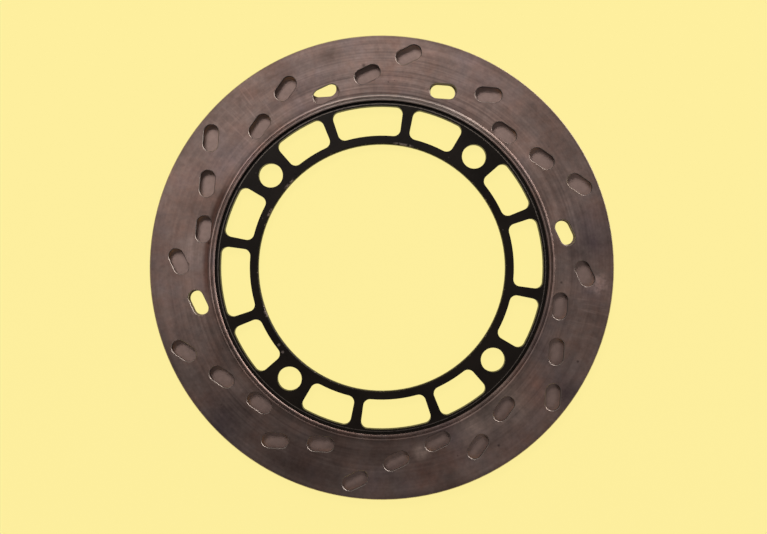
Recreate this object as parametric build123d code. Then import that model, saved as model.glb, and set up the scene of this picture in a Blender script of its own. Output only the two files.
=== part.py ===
from build123d import *
import os
from math import cos, radians, sin

# Ventilated brake disc rotor of a road motorcycle. It lies flat: +Z is the wheel axis and points
# outboard, and the origin is on that axis in the plane of the inboard lip. Millimetres.

# Driving dimensions
disc_diameter = 282.0
disc_thickness = 7.5            # over the unworn lips of both friction plates
plate_thickness = 2.4           # one friction plate, at its lip
lip_radius = 101.6              # inner edge of both friction plates
carrier_thickness = 5.0
opening_diameter = 150.5        # hub register in the carrier
bolt_circle_diameter = 175.7
bolt_hole_diameter = 14.8
bolt_count = 4
first_bolt_angle = 50.3         # degrees from +X

# Friction plates
rim_chamfer = 0.4
track_wear = 0.3                # the pads have worn the swept face this far below the lip
track_inner_radius = 105.3      # the swept face ends here, at a ridge
ridge_width = 1.2               # from its foot to the groove beside it
ridge_slope_width = 0.5
groove_width = 1.2              # relief groove between ridge and lip, at its mouth
groove_depth = 0.6
groove_slope_width = 0.4
lip_edge_width = 0.5            # bevel along the lip's inner edge
lip_edge_drop = 0.5

# Slots, in straight rows of two and three that lean to the tangent
sectors = 6
slot_length = 16.4
slot_width = 9.1
slot_chamfer = 0.35
slot_pitch = 27.75
outboard_row_radius = 117.7     # middle of a row
outboard_row_lean = 21.2        # degrees from the tangent
outboard_pair_angle = 4.3
outboard_trio_angle = 34.3
inboard_row_radius = 119.0      # these rows lean the other way and stand clear of the outboard slots
inboard_row_lean = -22.2
inboard_pair_angle = 9.0
inboard_trio_angle = 42.0
inboard_slot_length = 15.2
through_sectors = (0, 1, 3)     # here the inner slot of both pairs lines up right through the disc
half_open_sector = 1            # here the middle inboard slot of a trio shows in part of an outboard slot
half_open_place = (108.0, 114.6, -14.0)     # angle, radius and lean of that inboard slot

# Vanes between the plates, on land that no slot cuts
vane_width = 4.0
outer_vane_length = 16.0
outer_vane_radius = 131.0       # middle of an outer vane
outer_vane_angles = (3.5, 10.0, 29.0, 38.0, 47.0)       # in each sector
inner_vane_length = 10.0
inner_vane_radius = 110.5
inner_vane_angles = (19.7, 55.3)

# Carrier
carrier_rim_radius = 100.0      # the thick middle of the carrier ends here
flange_radius = 104.6           # the thin flange between the friction plates ends here
carrier_edge_chamfer = 0.6
window_inner_radius = 80.3
window_outer_radius = 98.4
window_corner_radius = 4.2
short_window_start = 9.1        # degrees from a bolt hole's centre line, to either side
short_window_end = 28.1
long_window_half_angle = 13.0   # about the line half-way between two bolt holes

# Worked out
outer_radius = disc_diameter / 2
middle_z = disc_thickness / 2
vane_height = disc_thickness - 2 * plate_thickness
gap_bottom_z = plate_thickness
sector_angle = 360 / sectors
bolt_step = 360 / bolt_count


def slot_row(angle, radius, lean, count):
    """Places (centre, direction) of one straight row's slots, outermost first."""
    direction = angle - 90 + lean
    middle = Vector(cos(radians(angle)), sin(radians(angle))) * radius
    along = Vector(cos(radians(direction)), sin(radians(direction)))
    outward = 1 if lean > 0 else -1
    steps = [outward * slot_pitch * ((count - 1) / 2 - i) for i in range(count)]
    return [(middle + along * step, direction) for step in steps]


def outboard_row(angle, count):
    return slot_row(angle, outboard_row_radius, outboard_row_lean, count)


def inboard_row(angle, count):
    return slot_row(angle, inboard_row_radius, inboard_row_lean, count)


def outboard_slots():
    """All slots of the outboard plate."""
    places = []
    for sector in range(sectors):
        turn = sector * sector_angle
        places += outboard_row(outboard_pair_angle + turn, 2)
        places += outboard_row(outboard_trio_angle + turn, 3)
    return places


def inboard_slots():
    """All slots of the inboard plate: its own rows, with four slots moved behind outboard ones."""
    places = []
    for sector in range(sectors):
        turn = sector * sector_angle
        pair = inboard_row(inboard_pair_angle + turn, 2)
        trio = inboard_row(inboard_trio_angle + turn, 3)
        if sector in through_sectors:
            pair[1] = outboard_row(outboard_pair_angle + turn, 2)[1]
        if sector == half_open_sector:
            trio[1] = slot_row(*half_open_place, 1)[0]
        places += pair + trio
    return places


def plate_blank():
    """An unslotted friction plate with its friction face up and its inner face at z = 0."""
    top = plate_thickness
    track = top - track_wear
    groove_outer = track_inner_radius - ridge_width
    groove_inner = groove_outer - groove_width
    groove_floor = top - groove_depth
    profile = Polyline(
        (lip_radius, 0),
        (outer_radius, 0),
        (outer_radius, track - rim_chamfer),
        (outer_radius - rim_chamfer, track),
        (track_inner_radius, track),
        (track_inner_radius - ridge_slope_width, top),
        (groove_outer, top),
        (groove_outer - groove_slope_width, groove_floor),
        (groove_inner + groove_slope_width, groove_floor),
        (groove_inner, top),
        (lip_radius + lip_edge_width, top),
        (lip_radius, top - lip_edge_drop),
        close=True,
    )
    return revolve(make_face(Plane.XZ * profile), Axis.Z)


def friction_plate(places, length):
    """A friction plate with its friction face up, cut by slots at places, their upper edges chamfered."""
    cutters = Sketch() + [
        Pos(centre.X, centre.Y) * Rot(0, 0, direction) * SlotOverall(length, slot_width)
        for centre, direction in places
    ]
    plate = plate_blank() - extrude(cutters, plate_thickness)
    track = plate.faces().filter_by(Plane.XY).group_by(SortBy.AREA)[-2].face()
    slot_wires = [wire for wire in track.inner_wires() if wire.length < 4 * length]
    return chamfer([edge for wire in slot_wires for edge in wire.edges()], slot_chamfer)


def outboard_plate():
    """Its friction face is the disc's top."""
    return Pos(0, 0, disc_thickness - plate_thickness) * friction_plate(outboard_slots(), slot_length)


def inboard_plate():
    """Turned over about X, so its places are given mirrored in Y before it is turned."""
    turned = [(Vector(centre.X, -centre.Y), -direction) for centre, direction in inboard_slots()]
    return Pos(0, 0, plate_thickness) * Rot(180, 0, 0) * friction_plate(turned, inboard_slot_length)


def window(start, end):
    """A carrier window between two angles: two arcs and two radial sides, with rounded corners."""
    outer = CenterArc((0, 0), window_outer_radius, start, end - start)
    inner = CenterArc((0, 0), window_inner_radius, start, end - start)
    outline = make_face([outer, inner, Line(outer @ 0, inner @ 0), Line(outer @ 1, inner @ 1)])
    return fillet(outline.vertices(), window_corner_radius)


def carrier_windows():
    """Two short windows beside each bolt hole and a long one between each two holes."""
    shapes = []
    for i in range(bolt_count):
        bolt = first_bolt_angle + i * bolt_step
        between = bolt + bolt_step / 2
        shapes.append(window(bolt + short_window_start, bolt + short_window_end))
        shapes.append(window(bolt - short_window_end, bolt - short_window_start))
        shapes.append(window(between - long_window_half_angle, between + long_window_half_angle))
    return Sketch() + shapes


def carrier_plate():
    """The plate that bolts to the hub, with its thin flange between the friction plates."""
    half = carrier_thickness / 2
    cut = carrier_edge_chamfer
    opening = opening_diameter / 2
    upper = [
        (opening, half - cut),
        (opening + cut, half),
        (carrier_rim_radius - cut, half),
        (carrier_rim_radius, half - cut),
        (carrier_rim_radius, vane_height / 2),
        (flange_radius, vane_height / 2),
    ]
    lower = [(radius, -height) for radius, height in reversed(upper)]
    blank = revolve(make_face(Plane.XZ * Polyline(*upper, *lower, close=True)), Axis.Z)
    bolt_holes = PolarLocations(bolt_circle_diameter / 2, bolt_count, first_bolt_angle)
    cuts = carrier_windows() + bolt_holes * Circle(bolt_hole_diameter / 2)
    return Pos(0, 0, middle_z) * (blank - extrude(cuts, carrier_thickness, both=True))


def vane(angle, radius, length):
    """A round-ended bar between the plates, along the radius at angle."""
    bar = extrude(SlotOverall(length, vane_width), vane_height)
    return Rot(0, 0, angle) * Pos(radius, 0, gap_bottom_z) * bar


def vane_ring(name, angles, radius, length):
    """Numbered vanes at the given angles of every sector."""
    all_angles = [sector * sector_angle + angle for sector in range(sectors) for angle in angles]
    return {f"{name}_{i:02d}": vane(angle, radius, length) for i, angle in enumerate(all_angles, 1)}


nodes = {
    "outboard_friction_plate": outboard_plate(),
    "inboard_friction_plate": inboard_plate(),
    "carrier_plate": carrier_plate(),
    **vane_ring("outer_vane", outer_vane_angles, outer_vane_radius, outer_vane_length),
    **vane_ring("inner_vane", inner_vane_angles, inner_vane_radius, inner_vane_length),
}

os.makedirs("parts", exist_ok=True)
for name, shape in nodes.items():
    export_step(shape, f"parts/{name}.step")
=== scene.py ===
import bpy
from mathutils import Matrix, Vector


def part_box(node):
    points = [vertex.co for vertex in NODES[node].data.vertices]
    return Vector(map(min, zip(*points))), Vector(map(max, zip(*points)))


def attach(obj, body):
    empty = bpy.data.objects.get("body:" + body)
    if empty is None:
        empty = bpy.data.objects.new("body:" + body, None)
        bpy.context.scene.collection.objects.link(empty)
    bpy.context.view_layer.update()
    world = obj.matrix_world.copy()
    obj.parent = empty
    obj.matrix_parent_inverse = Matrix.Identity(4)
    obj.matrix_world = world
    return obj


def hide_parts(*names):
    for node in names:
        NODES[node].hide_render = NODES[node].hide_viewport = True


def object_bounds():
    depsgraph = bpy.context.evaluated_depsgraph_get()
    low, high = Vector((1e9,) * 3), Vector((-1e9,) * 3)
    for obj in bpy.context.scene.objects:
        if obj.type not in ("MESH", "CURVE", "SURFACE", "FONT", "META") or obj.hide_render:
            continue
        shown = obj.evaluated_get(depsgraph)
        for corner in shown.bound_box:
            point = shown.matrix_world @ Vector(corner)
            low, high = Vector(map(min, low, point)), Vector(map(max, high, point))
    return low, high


bl_info = {
    "name": "Ventilated brake disc rotor",
    "version": (1, 0, 0),
    "blender": (4, 5, 0),
    "location": "3D View > Sidebar > Rotor",
    "description": "Surfaces and studio for the packed brake disc rotor",
    "category": "Object",
}

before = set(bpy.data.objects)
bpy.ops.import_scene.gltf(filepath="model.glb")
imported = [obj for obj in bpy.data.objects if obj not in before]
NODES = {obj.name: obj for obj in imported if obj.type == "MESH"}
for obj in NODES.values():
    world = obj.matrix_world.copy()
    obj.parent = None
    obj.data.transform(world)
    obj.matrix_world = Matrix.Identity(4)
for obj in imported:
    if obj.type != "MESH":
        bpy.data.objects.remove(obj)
CAD_LOW, CAD_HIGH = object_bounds()

from functools import partial
from math import atan2, hypot
from types import SimpleNamespace

import bpy
import numpy as np
from bpy.props import FloatProperty, FloatVectorProperty, PointerProperty
from bpy.types import Operator, Panel, PropertyGroup
from mathutils import Vector

BODY = "root"
MM = 0.001
FLOOR_RADIUS = 12.0
CAMERA_X, CAMERA_Y = 1.01 * MM, 0.39 * MM       # the camera stands over this point, a little off the axis

PLATES = ("outboard_friction_plate", "inboard_friction_plate")
CARRIER = "carrier_plate"
VANES = sorted(name for name in NODES if "_vane_" in name)

GAP_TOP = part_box(PLATES[0])[0].z
GAP_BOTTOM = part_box(PLATES[1])[1].z
CARRIER_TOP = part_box(CARRIER)[1].z

# Radii in millimetres
RIM = CAD_HIGH.x / MM       # of the disc
RIDGE_FOOT = 105.3          # where the track that the pads sweep begins
CARRIER_RIM = 100.0         # outer edge of the carrier's thick middle
OPENING = 75.25             # centre opening of the carrier

# How light a friction face is at each of these radii, from its lip, over the groove and ridge, to its rim. It
# paints a highlight on the lip and on the ridge, and shade in the groove and at the ridge's foot; the track
# has its own tone, darker in a line near the rim.
TONE_START, TONE_END = 101.0, 141.5
FACE_TONES_AND_PAINTED_LIGHT = (
    (101.0, 0.62), (102.1, 0.62), (102.6, 0.52), (103.0, 0.38), (103.9, 0.38), (104.2, 0.84), (105.0, 0.62),
    (105.4, 0.38), (106.5, 0.44), (109.5, 0.50), (138.5, 0.50), (140.4, 0.43), (141.0, 0.50),
)

# Heat and film marks that this disc has: x, y and reach in millimetres, colour, and how much of it
STAINS = (
    (74, -82, 30, "#cdb8ac", 0.60), (94, -74, 22, "#a0705f", 0.42), (29, -125, 26, "#8a6256", 0.45),
    (84, -106, 22, "#7d5c50", 0.45), (126, 18, 24, "#544c56", 0.70), (113, -77, 15, "#4c444a", 0.75),
    (-96, -94, 30, "#484147", 0.70), (-62, 120, 28, "#6e5a52", 0.60), (-32, 128, 10, "#6a5850", 0.60),
    (108, -14, 20, "#a58a7c", 0.45), (-137, 10, 30, "#6d5048", 0.50), (-40, -112, 40, "#5a4d4a", 0.50),
    (-112, 40, 24, "#8c7066", 0.50), (60, 92, 36, "#7f6c65", 0.65), (38, 126, 20, "#7a6860", 0.40),
    (68, 118, 26, "#6f5e58", 0.45), (94, 54, 18, "#75645c", 0.50), (-95, -55, 18, "#5a4a45", 0.45),
    (-104, 86, 36, "#73625b", 0.55), (-60, -118, 26, "#3f3230", 0.45), (54, -95, 16, "#cfb7ab", 0.60),
    (24, -112, 8, "#ecd2c5", 0.80), (0, -116, 22, "#4c423e", 0.45),
)

# Single pits in the steel and knocks on the brink of the carrier's opening, with x, y and reach, and specks
# in the carrier's paint
PITS = (
    (-11, 122.7, 1.8), (-105, 15, 1.6), (-117.5, 2, 1.4), (71, -108, 1.4), (109, -9, 1.2), (119, -57, 1.3),
)
KNOCKS = ((-56.8, 51.6, 5.0), (-67.6, 33.1, 3.5), (13.0, 74.5, 7.0), (-70.5, -28.0, 2.5))
SPECKS = ((-62.6, -46.9), (-60.3, -51.3))


def linear(hex_colour):
    """An sRGB hex colour as linear red, green and blue, with a full alpha."""
    values = [int(hex_colour[i : i + 2], 16) / 255 for i in (1, 3, 5)]
    return (*(v / 12.92 if v <= 0.04045 else ((v + 0.055) / 1.055) ** 2.4 for v in values), 1.0)


def swatch(name, description, hex_colour):
    """A colour that a user may change."""
    return FloatVectorProperty(
        name=name,
        description=description,
        subtype="COLOR",
        size=4,
        min=0,
        max=1,
        default=linear(hex_colour),
    )


def length(name, description, metres, least=0.0001, most=10.0):
    """A length that a user may change."""
    return FloatProperty(
        name=name,
        description=description,
        subtype="DISTANCE",
        unit="LENGTH",
        min=least,
        max=most,
        default=metres,
    )


def strength(name, description, default):
    """A power or brightness that a user may change."""
    return FloatProperty(name=name, description=description, min=0, default=default)


# ---------------------------------------------------------------- settings


class FrictionSteelSettings(PropertyGroup):
    """Colours and wear lines of the friction plates' steel"""

    face: swatch("Face", "Steel where the pads sweep", "#a5918a")
    film: swatch("Film", "Brown film that the pads leave", "#987d73")
    blued: swatch("Blued", "Steel darkened by heat", "#6c6368")
    dust: swatch("Dust", "Brake dust on the steel between the plates", "#b0978f")
    # the rubbed colour also paints a highlight: on the ridge towards the top, and in part on the slots'
    # chamfers
    rubbed: swatch("Rubbed edge", "Steel rubbed bright along an edge", "#c4bab2")
    wall: swatch("Slot wall", "Sooty wall of a slot", "#3a302c")
    line_width: length("Line width", "Width of the wear lines", 1.4 * MM)
    line_depth: length("Line depth", "Depth of the wear lines", 0.02 * MM, 0.0)


class CarrierPaintSettings(PropertyGroup):
    """Colours of the carrier's paint"""

    paint: swatch("Paint", "Black paint", "#17100a")
    dust: swatch("Dust", "Dust settled on the paint", "#261c14")
    grit: swatch("Grit", "Grit stuck in the paint", "#7a6f69")
    bare: swatch("Bare metal", "Metal where the paint is gone", "#8a7d76")
    # the rubbed colour also lightens the carrier's outer bevel as a painted highlight
    rubbed: swatch("Rubbed edge", "Paint rubbed thin along an edge", "#8f857d")


class VaneSettings(PropertyGroup):
    """Colours and sizes of the vanes"""

    steel: swatch("Vane steel", "Steel as it left the press", "#75695f")
    rust: swatch("Rust", "Light rust from the road", "#6a4f42")
    width: length("Width", "Width of a vane", 4.0 * MM, 0.001)
    fillet: length("Fillet", "Braze fillet where a vane meets a plate", 0.6 * MM, 0.0001, 0.0012)


class StudioSettings(PropertyGroup):
    """The floor, the lamps, the room and the camera"""

    floor: swatch("Floor", "Pale paper floor", "#feef9e")
    lamp: swatch("Lamp", "Colour of the soft lamps", "#fffaf6")
    room: swatch("Room", "Colour of the room's walls", "#8e8783")
    camera_height: length("Camera height", "Height above the disc's face", 0.62, 0.2)
    view_width: length("View width", "What the picture spans at the disc's face", 0.4653, 0.1)
    key_power: strength("Key lamp", "Power of the large soft lamp", 9.0)
    side_power: strength("Side lamp", "Power of the low side lamp", 6.0)
    fill_power: strength("Fill lamp", "Power of the weak fill lamp", 1.25)
    ceiling: strength("Ceiling", "Brightness of the ceiling", 0.088)


# ---------------------------------------------------------------- finishes


def add_node(tree, kind, feeds=(), out=0, **settings):
    """Adds a shader node with its settings, and feeds its sockets constants or other nodes' outputs. Returns
    one of its own outputs, or the node where it has none."""
    node = tree.nodes.new("ShaderNode" + kind)
    for name, value in settings.items():
        setattr(node, name, value)
    for socket, value in feeds.items() if isinstance(feeds, dict) else enumerate(feeds):
        if isinstance(value, bpy.types.NodeSocket):
            tree.links.new(value, node.inputs[socket])
        else:
            node.inputs[socket].default_value = value
    return node.outputs[out] if len(node.outputs) else node


def finish_sheet(name):
    """An empty material of that name, and add_node for its own tree."""
    material = bpy.data.materials.new(name)
    material.use_nodes = True
    material.node_tree.nodes.clear()
    return material, partial(add_node, material.node_tree)


def place_on_disc(add):
    """Where a point of the surface is and how it faces: its place, the same without height, its radius, its
    height, and how level its face is, from 0 on a wall to 1 on a level face."""
    place = add("TexCoord", out="Object")
    flat = add("VectorMath", (place, (1.0, 1.0, 0.0)), operation="MULTIPLY")
    normal = add("NewGeometry", out="Normal")
    return SimpleNamespace(
        place=place,
        flat=flat,
        radius=add("VectorMath", (flat,), out="Value", operation="LENGTH"),
        height=add("SeparateXYZ", (place,), out="Z"),
        level=add("Math", (add("SeparateXYZ", (normal,), out="Z"),), operation="ABSOLUTE"),
    )


def mark_at(add, flat, x, y, reach, core=0.0):
    """1 at a point of the disc's face, or within core of it, and 0 from reach onwards, all in millimetres."""
    away = add("VectorMath", (flat, (x * MM, y * MM, 0.0)), out="Value", operation="DISTANCE")
    return add("MapRange", (away, reach * MM, core * MM, 0.0, 1.0), interpolation_type="SMOOTHSTEP")


def lines_round_the_axis(add, radius, outward, width, turns, detail, start=0.0):
    """Noise drawn out into lines round the wheel's axis: width metres across each, turns changes a radian."""
    across = add("Math", (radius, 1 / width, start), operation="MULTIPLY_ADD")
    lift = add("CombineXYZ", {"Z": across})
    where = add("VectorMath", (outward, (turns,) * 3, lift), operation="MULTIPLY_ADD")
    return add("TexNoise", {"Vector": where, "Scale": 1.0, "Detail": detail, "Roughness": 0.55})


def steel_patterns(add, at, line_width):
    """The patterns that the worn steel is made of: four of lines round the axis, one of them a painted sheen,
    and three of patches.
    """
    outward = add("VectorMath", (at.flat,), operation="NORMALIZE")
    aside = add("Mapping", {"Vector": at.place, "Location": (0.3, 0.1, 0.0)})
    return SimpleNamespace(
        # the lines are really 0.05 to 0.3 mm apart and are drawn up to 1.4 mm apart so that they show
        lines=lines_round_the_axis(add, at.radius, outward, line_width, 1.2, 3.0),
        bands=lines_round_the_axis(add, at.radius, outward, 7.0 * MM, 1.8, 3.0, 31.0),
        # sheen is a painted sheen: light and dark sectors round the axis that stand in for the gloss
        # spreading across the lines
        sheen=lines_round_the_axis(add, at.radius, outward, 45.0 * MM, 7.0, 3.0, 13.0),
        crossing=lines_round_the_axis(add, at.radius, outward, 22.0 * MM, 60.0, 2.0, 7.0),
        heat=add("TexNoise", {"Vector": at.place, "Scale": 1 / (38 * MM), "Detail": 4.0, "Roughness": 0.6}),
        smears=add("TexNoise", {"Vector": aside, "Scale": 1 / (15 * MM), "Detail": 5.0, "Roughness": 0.65}),
        mottle=add("TexNoise", {"Vector": at.place, "Scale": 1 / (3 * MM), "Detail": 3.0, "Roughness": 0.6}),
    )


def stained_face(add, at, seen, settings):
    """Colour of the turned faces: steel under a patchy film, blued by heat, stained, scorched beside the
    ridge on one side of the disc, and lightened on the ridge towards the top of the disc as a painted
    highlight."""
    film = add("MapRange", (seen.smears, 0.36, 0.64, 0.0, 1.0))
    colour = add("Mix", {0: film, 6: settings.face, 7: settings.film}, out=2, data_type="RGBA")
    blued = add("MapRange", (seen.heat, 0.50, 0.72, 0.0, 0.6))
    colour = add("Mix", {0: blued, 6: colour, 7: settings.blued}, out=2, data_type="RGBA")

    uneven = add("MapRange", (seen.smears, 0.30, 0.62, 0.35, 1.0))
    for x, y, reach, hex_colour, amount in STAINS:
        share = add("Math", (mark_at(add, at.flat, x, y, reach), uneven), operation="MULTIPLY")
        share = add("Math", (share, amount), operation="MULTIPLY")
        colour = add("Mix", {0: share, 6: colour, 7: linear(hex_colour)}, out=2, data_type="RGBA")

    fades = ((RIDGE_FOOT + 4.7) * MM, (RIDGE_FOOT + 1.2) * MM)
    starts = ((RIDGE_FOOT - 0.5) * MM, (RIDGE_FOOT + 0.5) * MM)
    band = add("MapRange", (at.radius, *fades, 0.0, 1.0), interpolation_type="SMOOTHSTEP")
    band = add("Math", (band, mark_at(add, at.flat, -106, 18, 52, 20)), operation="MULTIPLY")
    band = add("Math", (band, add("MapRange", (at.radius, *starts, 0.0, 0.75))), operation="MULTIPLY")
    colour = add("Mix", {0: band, 6: colour, 7: linear("#6b463a")}, out=2, data_type="RGBA")

    # painted highlight: the ridge is lightened towards the top of the disc, where it catches the lamps
    on_ridge = add("MapRange", (at.radius, (RIDGE_FOOT + 0.2) * MM, (RIDGE_FOOT - 0.3) * MM, 0.0, 0.5))
    painted_ridge_highlight = add("Math", (on_ridge, mark_at(add, at.flat, 12, 102, 90, 20)), operation="MULTIPLY")
    return add("Mix", {0: painted_ridge_highlight, 6: colour, 7: settings.rubbed}, out=2, data_type="RGBA")


def wear_lines(add, at, lines):
    """Height of the wear lines: deepest in the inner half of the track, and deepest of all in a wide patch at
    the top of the disc."""
    depth = add("MapRange", (at.radius, 118 * MM, 131 * MM, 0.60, 0.26))
    stronger_near_top = add("MapRange", (mark_at(add, at.flat, 5, 112, 95, 20), 0.0, 1.0, 0.5, 1.3))
    depth = add("Math", (depth, stronger_near_top), operation="MULTIPLY")
    line = add("Math", (lines, 0.5), operation="SUBTRACT")
    return add("Math", (line, depth), operation="MULTIPLY")


def face_tone(add, at, seen, line):
    """How light the turned faces are. By radius it paints a highlight on the lip and on the ridge, and paints
    shade in the groove and at the ridge's foot. The patterns, one of them a painted sheen, and the wear lines
    streak the track, which has scratches, a scuff and pits."""
    # the ramp by radius is painted light: a painted highlight on the lip and ridge, painted shade in the
    # groove and at the ridge's foot
    along = add("MapRange", (at.radius, TONE_START * MM, TONE_END * MM, 0.0, 1.0))
    tone_with_painted_light = add("ValToRGB", (along,))
    elements = tone_with_painted_light.node.color_ramp.elements
    while len(elements) < len(FACE_TONES_AND_PAINTED_LIGHT):
        elements.new(0.5)
    for element, (radius, tone) in zip(elements, FACE_TONES_AND_PAINTED_LIGHT):
        element.position = (radius - TONE_START) / (TONE_END - TONE_START)
        element.color = (tone, tone, tone, 1.0)
    tone = add("Math", (tone_with_painted_light, 2.0), operation="MULTIPLY")
    # sheen swings the tone as a painted sheen; bands, mottle, heat and smears are the steel's own
    swings = (
        (seen.bands, 0.40), (seen.mottle, 0.32), (seen.heat, 0.75), (seen.smears, 0.45), (seen.sheen, 0.30),
    )
    for pattern, amount in swings:
        swing = add("Math", (pattern, 2 * amount, 1 - amount), operation="MULTIPLY_ADD")
        tone = add("Math", (tone, swing), operation="MULTIPLY")
    streak = add("Math", (line, 2.0, 1.0), operation="MULTIPLY_ADD")
    tone = add("Math", (streak, tone), operation="MULTIPLY")

    # short scratches across the lines in two places, and a bright scuff beside one slot
    scratched = (mark_at(add, at.flat, -78, 92, 42), mark_at(add, at.flat, 128, -26, 30))
    scratched = add("Math", scratched, operation="MAXIMUM")
    scratch = add("MapRange", (seen.crossing, 0.55, 0.70, 0.0, 0.30))
    scratch = add("Math", (scratch, scratched), operation="MULTIPLY")
    scuff = add("MapRange", (seen.mottle, 0.35, 0.60, 0.3, 1.3))
    scuff = add("Math", (scuff, mark_at(add, at.flat, 131, -10, 9, 1)), operation="MULTIPLY")
    bright = add("Math", (scratch, scuff), operation="ADD")
    tone = add("Math", (tone, bright), operation="ADD")

    # pits are really under 0.5 mm across and are drawn 1 to 2 mm across so that they show
    cells = add("TexVoronoi", {"Vector": at.place, "Scale": 1 / (7.5 * MM)}, out="Distance")
    pit = add("MapRange", (cells, 0.085, 0.045, 0.0, 0.6))
    pit = add("Math", (pit, add("MapRange", (seen.smears, 0.47, 0.52, 0.0, 1.0))), operation="MULTIPLY")
    for x, y, reach in PITS:
        pit = add("Math", (pit, mark_at(add, at.flat, x, y, reach)), operation="MAXIMUM")
    left = add("Math", (pit, -0.6, 1.0), operation="MULTIPLY_ADD")
    return add("Math", (tone, left), operation="MULTIPLY")


def unswept_colour(add, at, level_face, mottle, settings):
    """Colour of the faces that no pad sweeps: sooty slot walls, the rim, and brake dust in the gap."""
    rim = add("MapRange", (at.radius, (RIM - 1.0) * MM, (RIM - 0.5) * MM, 0.0, 0.7))
    wall = add("Mix", {0: rim, 6: settings.wall, 7: settings.film}, out=2, data_type="RGBA")
    colour = add("Mix", {0: level_face, 6: wall, 7: settings.dust}, out=2, data_type="RGBA")
    uneven = add("Math", (mottle, 0.5, 0.75), operation="MULTIPLY_ADD")
    return add("Mix", {0: 1.0, 6: colour, 7: uneven}, out=2, data_type="RGBA", blend_type="MULTIPLY")


def worn_steel(settings):
    """Steel turned on a lathe and then ground by the pads. The lines of both run round the axis, so the gloss
    spreads across them. A thin film of pad material and blued patches make it mauve brown and not silver."""
    material, add = finish_sheet("steel_turned_and_pad_worn")
    at = place_on_disc(add)
    seen = steel_patterns(add, at, settings.line_width)
    line = wear_lines(add, at, seen.lines)
    face = stained_face(add, at, seen, settings)
    tone = face_tone(add, at, seen, line)
    face = add("Mix", {0: 1.0, 6: face, 7: tone}, out=2, data_type="RGBA", blend_type="MULTIPLY")

    # only the faces outside the gap were turned, and of those not the walls
    above = add("Math", (at.height, GAP_TOP + 0.1 * MM), operation="GREATER_THAN")
    below = add("Math", (at.height, GAP_BOTTOM - 0.1 * MM), operation="LESS_THAN")
    outside = add("Math", (above, below), operation="ADD")
    level_face = add("MapRange", (at.level, 0.30, 0.50, 0.0, 1.0))
    turned = add("Math", (outside, level_face), operation="MULTIPLY")
    unswept = unswept_colour(add, at, level_face, seen.mottle, settings)
    colour = add("Mix", {0: turned, 6: unswept, 7: face}, out=2, data_type="RGBA")

    # the slots' chamfers are rubbed bright by the pads, and lightened further as a painted highlight
    slanted = add("MapRange", (at.level, 0.95, 0.80, 0.0, 1.0))
    in_track = add("MapRange", (at.radius, (RIDGE_FOOT + 1.2) * MM, (RIDGE_FOOT + 1.7) * MM, 0.0, 1.0))
    rubbed = add("Math", (slanted, in_track), operation="MULTIPLY")
    rubbed = add("Math", (rubbed, turned), operation="MULTIPLY")
    rubbed = add("Math", (rubbed, 0.65), operation="MULTIPLY")
    colour = add("Mix", {0: rubbed, 6: colour, 7: settings.rubbed}, out=2, data_type="RGBA")

    gloss = add("Math", (seen.lines, 0.12, 0.38), operation="MULTIPLY_ADD")
    relief = add("Math", (line, 3.0, seen.mottle), operation="MULTIPLY_ADD")
    relief = add("Math", (seen.bands, 0.6, relief), operation="MULTIPLY_ADD")
    steel = add("BsdfPrincipled", {
        "Base Color": colour,
        "Metallic": add("MapRange", (turned, 0.0, 1.0, 0.6, 1.0)),
        "Roughness": add("Mix", {0: turned, 2: 0.48, 3: gloss}, data_type="FLOAT"),
        "Normal": add("Bump", {"Strength": 1.0, "Distance": settings.line_depth, "Height": relief}),
        "Anisotropic": 0.35,
        "Tangent": add("Tangent", direction_type="RADIAL", axis="Z"),
    })
    add("OutputMaterial", {"Surface": steel})
    return material


def bare_patches(add, at, slanted, ragged):
    """Where the paint is gone: small chips along the bevels, knocks on the upper brink of the centre opening,
    and two specks."""
    chips = add("MapRange", (ragged, 0.60, 0.66, 0.0, 1.0))
    chips = add("Math", (slanted, chips), operation="MULTIPLY")
    broken = add("MapRange", (ragged, 0.42, 0.50, 0.0, 1.0))
    brink = add("MapRange", (at.radius, (OPENING + 1.65) * MM, (OPENING + 0.95) * MM, 0.0, 1.0))
    upper = add("MapRange", (at.height, CARRIER_TOP - 1.2 * MM, CARRIER_TOP - 0.4 * MM, 0.0, 1.0))
    for x, y, reach in KNOCKS:
        knock = add("Math", (mark_at(add, at.flat, x, y, reach, reach / 2), broken), operation="MULTIPLY")
        knock = add("Math", (knock, brink), operation="MULTIPLY")
        knock = add("Math", (knock, upper), operation="MULTIPLY")
        chips = add("Math", (chips, knock), operation="MAXIMUM")
    for x, y in SPECKS:
        chips = add("Math", (chips, mark_at(add, at.flat, x, y, 1.1, 0.5)), operation="MAXIMUM")
    return chips


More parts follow.
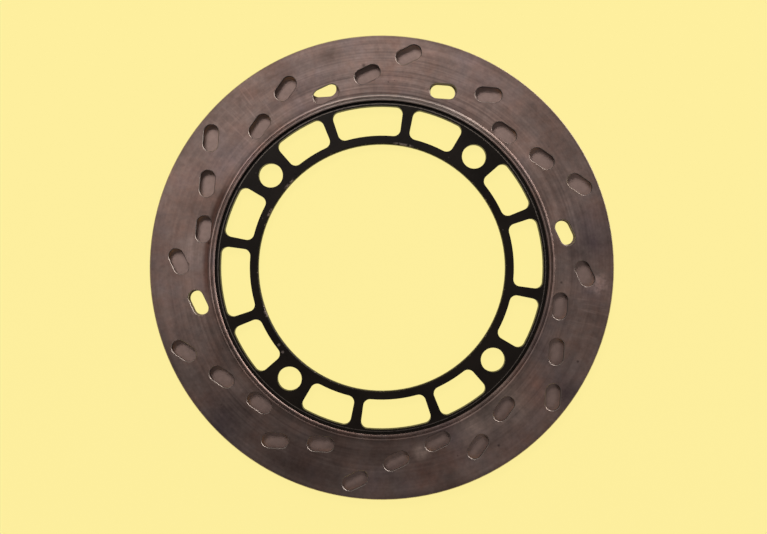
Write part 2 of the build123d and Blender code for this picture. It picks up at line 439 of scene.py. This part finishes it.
def black_paint(settings):
    """Satin black paint sprayed on a cast carrier: nearly black with a soft sheen and faint orange peel,
    dusty, rubbed thin and lightened as a painted highlight along its outer edge, and chipped to bare metal
    here and there."""
    material, add = finish_sheet("paint_satin_black_sprayed")
    at = place_on_disc(add)
    # orange peel is really 0.5 mm across and is drawn 1.4 mm across so that it shows
    peel = add("TexNoise", {"Vector": at.place, "Scale": 1 / (1.4 * MM), "Detail": 2.0})
    settled = add("TexNoise", {"Vector": at.place, "Scale": 1 / (24 * MM), "Detail": 5.0, "Roughness": 0.65})
    ragged = add("TexNoise", {"Vector": at.place, "Scale": 1 / (2.2 * MM), "Detail": 4.0, "Roughness": 0.65})

    dust = add("MapRange", (settled, 0.40, 0.75, 0.0, 0.6))
    colour = add("Mix", {0: dust, 6: settings.paint, 7: settings.dust}, out=2, data_type="RGBA")
    cells = add("TexVoronoi", {"Vector": at.place, "Scale": 1 / (5.0 * MM)}, out="Distance")
    grit = add("MapRange", (cells, 0.09, 0.05, 0.0, 0.5))
    grit = add("Math", (grit, add("MapRange", (settled, 0.50, 0.60, 0.0, 1.0))), operation="MULTIPLY")
    colour = add("Mix", {0: grit, 6: colour, 7: settings.grit}, out=2, data_type="RGBA")

    # a bevel is neither level nor upright, and the outer one is rubbed thin and lightened as a painted
    # highlight
    slanted = add("MapRange", (at.level, 0.95, 0.80, 0.0, 1.0))
    off_wall = add("MapRange", (at.level, 0.35, 0.50, 0.0, 1.0))
    slanted = add("Math", (slanted, off_wall), operation="MULTIPLY")
    outer_bevel_highlight = add("MapRange", (at.radius, (CARRIER_RIM - 1.0) * MM, (CARRIER_RIM - 0.6) * MM, 0.0, 1.0))
    rubbed = add("Math", (slanted, outer_bevel_highlight), operation="MULTIPLY")
    rubbed = add("Math", (rubbed, add("MapRange", (ragged, 0.3, 0.5, 0.4, 1.0))), operation="MULTIPLY")
    colour = add("Mix", {0: rubbed, 6: colour, 7: settings.rubbed}, out=2, data_type="RGBA")
    chips = bare_patches(add, at, slanted, ragged)
    colour = add("Mix", {0: chips, 6: colour, 7: settings.bare}, out=2, data_type="RGBA")

    relief = add("Math", (chips, -0.8, peel), operation="MULTIPLY_ADD")
    paint = add("BsdfPrincipled", {
        "Base Color": colour,
        "Metallic": add("Math", (chips, 0.8), operation="MULTIPLY"),
        "Roughness": add("MapRange", (settled, 0.3, 0.7, 0.38, 0.52)),
        "Specular IOR Level": 0.25,
        "Normal": add("Bump", {"Strength": 1.0, "Distance": 0.03 * MM, "Height": relief}),
    })
    add("OutputMaterial", {"Surface": paint})
    return material


def vane_steel(settings):
    """Steel pressed and furnace brazed: dull, brown grey and slightly scaled, its gloss the same all ways."""
    material, add = finish_sheet("steel_pressed_and_brazed")
    place = add("TexCoord", out="Object")
    scale = add("TexNoise", {"Vector": place, "Scale": 1 / (2.5 * MM), "Detail": 4.0, "Roughness": 0.6})
    bloom = add("TexNoise", {"Vector": place, "Scale": 1 / (9 * MM), "Detail": 4.0, "Roughness": 0.6})
    rust = add("MapRange", (bloom, 0.45, 0.70, 0.0, 1.0))
    colour = add("Mix", {0: rust, 6: settings.steel, 7: settings.rust}, out=2, data_type="RGBA")
    tone = add("Math", (scale, 0.8, 0.6), operation="MULTIPLY_ADD")
    colour = add("Mix", {0: 1.0, 6: colour, 7: tone}, out=2, data_type="RGBA", blend_type="MULTIPLY")
    steel = add("BsdfPrincipled", {
        "Base Color": colour,
        "Metallic": 0.8,
        "Roughness": add("MapRange", (scale, 0.3, 0.7, 0.5, 0.7)),
        "Normal": add("Bump", {"Strength": 1.0, "Distance": 0.05 * MM, "Height": scale}),
    })
    add("OutputMaterial", {"Surface": steel})
    return material


def pale_paper(settings):
    """Pale seamless paper. Most of its brightness is its own, so that it stays even under the disc."""
    material, add = finish_sheet("paper_seamless_pale")
    reflected = 0.06
    paper = add("BsdfPrincipled", {
        "Base Color": (*(reflected * part for part in settings.floor[:3]), 1.0),
        "Roughness": 0.9,
        "Specular IOR Level": 0.1,
        "Emission Color": settings.floor,
        "Emission Strength": 0.967,
    })
    add("OutputMaterial", {"Surface": paper})
    return material


# ---------------------------------------------------------------- surfaces


def mesh_from_grid(name, points, wrap):
    """A mesh from rows of points, of shape (rows, columns, 3). wrap joins the last column to the first, and a
    row whose points all coincide becomes one pole."""
    rows, columns, _ = points.shape
    pole = np.ptp(points, axis=1).max(axis=1) < 1e-9
    counts = np.where(pole, 1, columns)
    starts = np.concatenate([[0], np.cumsum(counts)[:-1]])
    index = starts[:, None] + np.where(pole[:, None], 0, np.arange(columns)[None, :])
    vertices = np.concatenate([points[i, : counts[i]] for i in range(rows)])
    right = np.roll(index, -1, axis=1)
    last = columns if wrap else columns - 1
    quads = np.stack([index[:-1], right[:-1], right[1:], index[1:]], axis=-1)[:, :last].reshape(-1, 4)
    faces = [tuple(dict.fromkeys(face)) for face in quads.tolist()]
    mesh = bpy.data.meshes.new(name)
    mesh.from_pydata(vertices.tolist(), [], faces)
    mesh.validate()
    mesh.update()
    return mesh


def show(name, mesh, material, smooth_angle=None):
    """Puts a mesh in the scene as an object at the origin, smooth up to that angle where one is given."""
    mesh.materials.append(material)
    thing = bpy.data.objects.new(name, mesh)
    bpy.context.scene.collection.objects.link(thing)
    if smooth_angle is not None:
        mesh.shade_smooth()
        mesh.set_sharp_from_angle(angle=smooth_angle)
    return thing


def filleted_vane(node, width, fillet):
    """A vane with a hollow braze fillet at both plates.

    Round it runs a stadium outline, two straight lines joined by half circles, moved out by the flare. Up it,
    the flare is fillet - sqrt(fillet^2 - (fillet - s)^2), where s is the distance to the nearer plate, and 0
    beyond the fillet. The first and last rows are poles that close its ends."""
    cap_points, fillet_points = 13, 7
    low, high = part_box(node)
    centre = (low + high) / 2
    straight = hypot(high.x - low.x - width, high.y - low.y - width)
    turn = atan2(centre.y, centre.x)
    cap = np.linspace(-np.pi / 2, np.pi / 2, cap_points)
    around = np.concatenate([cap, cap + np.pi])
    end = np.repeat([straight / 2, -straight / 2], cap_points)
    rise = fillet * (1 - np.cos(np.linspace(0, np.pi / 2, fillet_points)))
    flare = fillet - np.sqrt(np.maximum(fillet**2 - (fillet - rise) ** 2, 0))
    top = high.z - low.z
    heights = np.concatenate([[0], rise, [top / 2], top - rise[::-1], [top]])
    reach = np.concatenate([[0], width / 2 + flare, [width / 2], width / 2 + flare[::-1], [0]])
    inner = np.where(reach > 0, 1.0, 0.0)
    along = inner[:, None] * end[None, :] + reach[:, None] * np.cos(around)[None, :]
    side = reach[:, None] * np.sin(around)[None, :]
    points = np.empty((*along.shape, 3))
    points[..., 0] = centre.x + along * np.cos(turn) - side * np.sin(turn)
    points[..., 1] = centre.y + along * np.sin(turn) + side * np.cos(turn)
    points[..., 2] = low.z + heights[:, None]
    return mesh_from_grid(f"{node}_filleted", points, wrap=True)


def round_floor(radius, level):
    """A flat round floor: rings of points about the axis, each ring wider than the last, at one level."""
    rings, spokes = 9, 96
    reach = radius * np.linspace(0, 1, rings) ** 2
    around = np.linspace(0, 2 * np.pi, spokes, endpoint=False)
    points = np.empty((len(reach), len(around), 3))
    points[..., 0] = reach[:, None] * np.cos(around)[None, :]
    points[..., 1] = reach[:, None] * np.sin(around)[None, :]
    points[..., 2] = level
    return mesh_from_grid("floor", points, wrap=True)


# ---------------------------------------------------------------- operators


def give_finish(name, material):
    """Gives a node of the frame its finish."""
    if name not in NODES:
        raise RuntimeError(f"the frame has no node {name}")
    NODES[name].material_slots[0].material = material


def hang_lamp(name, power, colour, place, size):
    """A soft lamp that faces the middle of the disc's top and that the camera doesn't see."""
    lamp = bpy.data.lights.new(name, "AREA")
    lamp.shape = "RECTANGLE"
    lamp.size, lamp.size_y = size
    lamp.energy = power
    lamp.color = colour[:3]
    thing = bpy.data.objects.new(name, lamp)
    thing.visible_camera = False
    thing.location = place
    thing.rotation_mode = "QUATERNION"
    thing.rotation_quaternion = (Vector(place) - Vector((0.0, 0.0, CAD_HIGH.z))).to_track_quat("Z", "Y")
    bpy.context.scene.collection.objects.link(thing)


def room(settings):
    """The room: to the camera more of the floor's paper, and to the disc pale walls under a dim ceiling."""
    world = bpy.data.worlds.new("room")
    world.use_nodes = True
    world.node_tree.nodes.clear()
    add = partial(add_node, world.node_tree)
    rise = add("SeparateXYZ", (add("TexCoord", out="Generated"),), out="Z")
    upward = add("MapRange", (rise, 0.0, 0.35, 0.0, 1.0), interpolation_type="SMOOTHSTEP")
    ceiling = (*(settings.ceiling * part for part in (1.0, 0.95, 0.93)), 1.0)
    walls = add("Mix", {0: upward, 6: settings.room, 7: ceiling}, out=2, data_type="RGBA")
    seen = add("LightPath", out="Is Camera Ray")
    glow = add("Mix", {0: seen, 6: walls, 7: settings.floor}, out=2, data_type="RGBA")
    add("OutputWorld", {"Surface": add("Background", {"Color": glow, "Strength": 1.0})})
    return world


def overhead_camera(settings):
    """A camera that looks straight down and spans view_width at the disc's face."""
    lens = bpy.data.cameras.new("camera")
    lens.sensor_width = 36.0
    lens.lens = lens.sensor_width * settings.camera_height / settings.view_width
    camera = bpy.data.objects.new("camera", lens)
    camera.location = (CAMERA_X, CAMERA_Y, CAD_HIGH.z + settings.camera_height)
    bpy.context.scene.collection.objects.link(camera)
    return camera


class ROTOR_OT_friction_plates(Operator):
    """Gives both friction plates their turned and pad-worn steel"""

    bl_idname = "rotor.friction_plates"
    bl_label = "Friction plates"

    def execute(self, context):
        steel = worn_steel(context.scene.rotor_steel)
        for name in PLATES:
            give_finish(name, steel)
        return {"FINISHED"}


class ROTOR_OT_carrier(Operator):
    """Gives the carrier its satin black paint"""

    bl_idname = "rotor.carrier"
    bl_label = "Carrier"

    def execute(self, context):
        give_finish(CARRIER, black_paint(context.scene.rotor_paint))
        return {"FINISHED"}


class ROTOR_OT_vanes(Operator):
    """Builds every vane with its braze fillets, in place of the plain bars"""

    bl_idname = "rotor.vanes"
    bl_label = "Vanes"

    def execute(self, context):
        if not VANES:
            raise RuntimeError("the frame has no vanes")
        settings = context.scene.rotor_vanes
        steel = vane_steel(settings)
        for name in VANES:
            mesh = filleted_vane(name, settings.width, settings.fillet)
            vane = show(f"{name}_filleted", mesh, steel, smooth_angle=0.9)
            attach(vane, BODY)
            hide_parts(name)
        return {"FINISHED"}


class ROTOR_OT_studio(Operator):
    """Lays the floor, and sets the lights, the room and the camera"""

    bl_idname = "rotor.studio"
    bl_label = "Studio"

    def execute(self, context):
        settings = context.scene.rotor_studio
        floor = show("floor", round_floor(FLOOR_RADIUS, CAD_LOW.z), pale_paper(settings))
        hang_lamp("key_lamp", settings.key_power, settings.lamp, place=(-0.36, 0.86, 1.20), size=(0.8, 0.45))
        hang_lamp("side_lamp", settings.side_power, settings.lamp, place=(0.80, 0.66, 0.10), size=(1.1, 0.35))
        hang_lamp("fill_lamp", settings.fill_power, settings.lamp, place=(0.72, -0.52, 1.20), size=(0.6, 0.6))
        context.scene.world = room(settings)
        context.scene.view_settings.view_transform = "Standard"
        context.scene.camera = overhead_camera(settings)
        return {"FINISHED"}


class ROTOR_PT_pieces(Panel):
    """Lists the rotor's pieces and their settings"""

    bl_idname = "ROTOR_PT_pieces"
    bl_label = "Brake disc rotor"
    bl_space_type = "VIEW_3D"
    bl_region_type = "UI"
    bl_category = "Rotor"

    def draw(self, context):
        for operator, group in STEPS:
            box = self.layout.box()
            box.operator(operator.bl_idname)
            settings = getattr(context.scene, group)
            for name in settings.bl_rna.properties.keys():
                if name not in ("rna_type", "name"):
                    box.prop(settings, name)


GROUPS = {
    "rotor_steel": FrictionSteelSettings,
    "rotor_paint": CarrierPaintSettings,
    "rotor_vanes": VaneSettings,
    "rotor_studio": StudioSettings,
}
STEPS = (
    (ROTOR_OT_friction_plates, "rotor_steel"),
    (ROTOR_OT_carrier, "rotor_paint"),
    (ROTOR_OT_vanes, "rotor_vanes"),
    (ROTOR_OT_studio, "rotor_studio"),
)
CLASSES = (*GROUPS.values(), *(operator for operator, _ in STEPS), ROTOR_PT_pieces)


def register():
    for each in CLASSES:
        bpy.utils.register_class(each)
    for name, group in GROUPS.items():
        setattr(bpy.types.Scene, name, PointerProperty(type=group))


def unregister():
    for name in GROUPS:
        delattr(bpy.types.Scene, name)
    for each in reversed(CLASSES):
        bpy.utils.unregister_class(each)


def main():
    """Builds everything in order."""
    register()
    bpy.ops.rotor.friction_plates()
    bpy.ops.rotor.carrier()
    bpy.ops.rotor.vanes()
    bpy.ops.rotor.studio()


if __name__ == "__main__":
    main()
